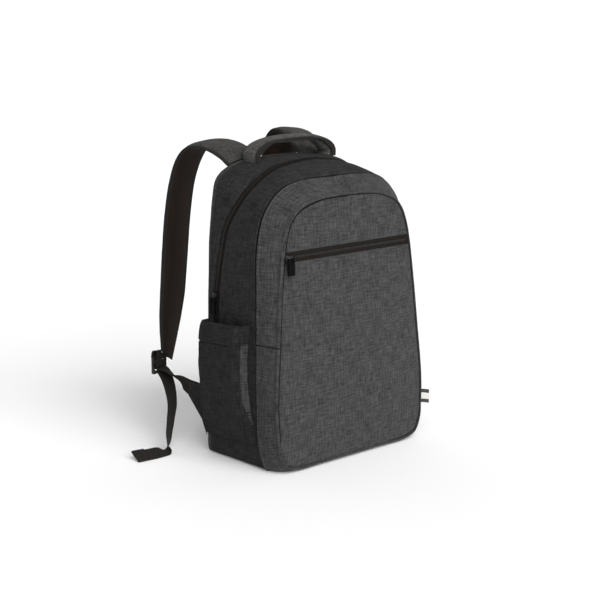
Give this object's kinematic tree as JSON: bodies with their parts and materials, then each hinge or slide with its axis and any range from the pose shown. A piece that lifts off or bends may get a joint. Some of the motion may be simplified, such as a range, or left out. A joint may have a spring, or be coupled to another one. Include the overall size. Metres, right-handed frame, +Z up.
{
  "type": "laptop backpack",
  "caption": "Zipped laptop backpack with a padded back, front zip pocket, open side pockets, haul handle and padded shoulder straps.",
  "frame": {"origin": "middle of the flat base, on the floor", "axes": "+Z up, -Y the way the front panel faces, +X to the right seen from the front"},
  "size_m": [0.5234, 0.3225, 0.4834],
  "materials": {
    "front_fabric": "heather weave",
    "side_fabric": "heather weave",
    "strap_fabric": "heather weave outside, brown-black lining inside",
    "padded_lining": "matt padded cloth",
    "zip_tape": "plain tape",
    "zip_coil": "moulded coil",
    "slider_metal": "dark satin",
    "moulded_black": "satin moulded",
    "webbing": "ribbed webbing",
    "label": "woven, white and black bands"
  },
  "bodies": {
    "root": {"back_panel": "padded_lining", "rear_gusset": "side_fabric", "front_gusset": "side_fabric", "pocket_gusset_upper": "front_fabric", "pocket_gusset_lower": "front_fabric", "base_panel": "side_fabric", "side_panel_left": "side_fabric", "side_panel_right": "side_fabric", "front_panel_upper": "front_fabric", "front_panel_lower": "front_fabric", "front_zip_tape": "zip_tape", "front_zip_coil": "zip_coil", "main_zip_tape": "zip_tape", "main_zip_coil": "zip_coil", "main_zip_slider": "slider_metal", "main_zip_puller": "moulded_black", "front_zip_slider": "slider_metal", "front_zip_puller": "moulded_black", "side_pocket_left": "side_fabric", "side_pocket_right": "side_fabric", "haul_handle": "front_fabric", "shoulder_strap_left": "strap_fabric", "ladder_lock_left": "moulded_black", "strap_tab_left": "webbing", "lower_webbing_left": "webbing", "strap_wing_left": "front_fabric", "webbing_tail_left": "webbing", "shoulder_strap_right": "strap_fabric", "ladder_lock_right": "moulded_black", "strap_tab_right": "webbing", "lower_webbing_right": "webbing", "strap_wing_right": "front_fabric", "webbing_tail_right": "webbing", "label_loop": "label"}
  },
  "joints": []
}
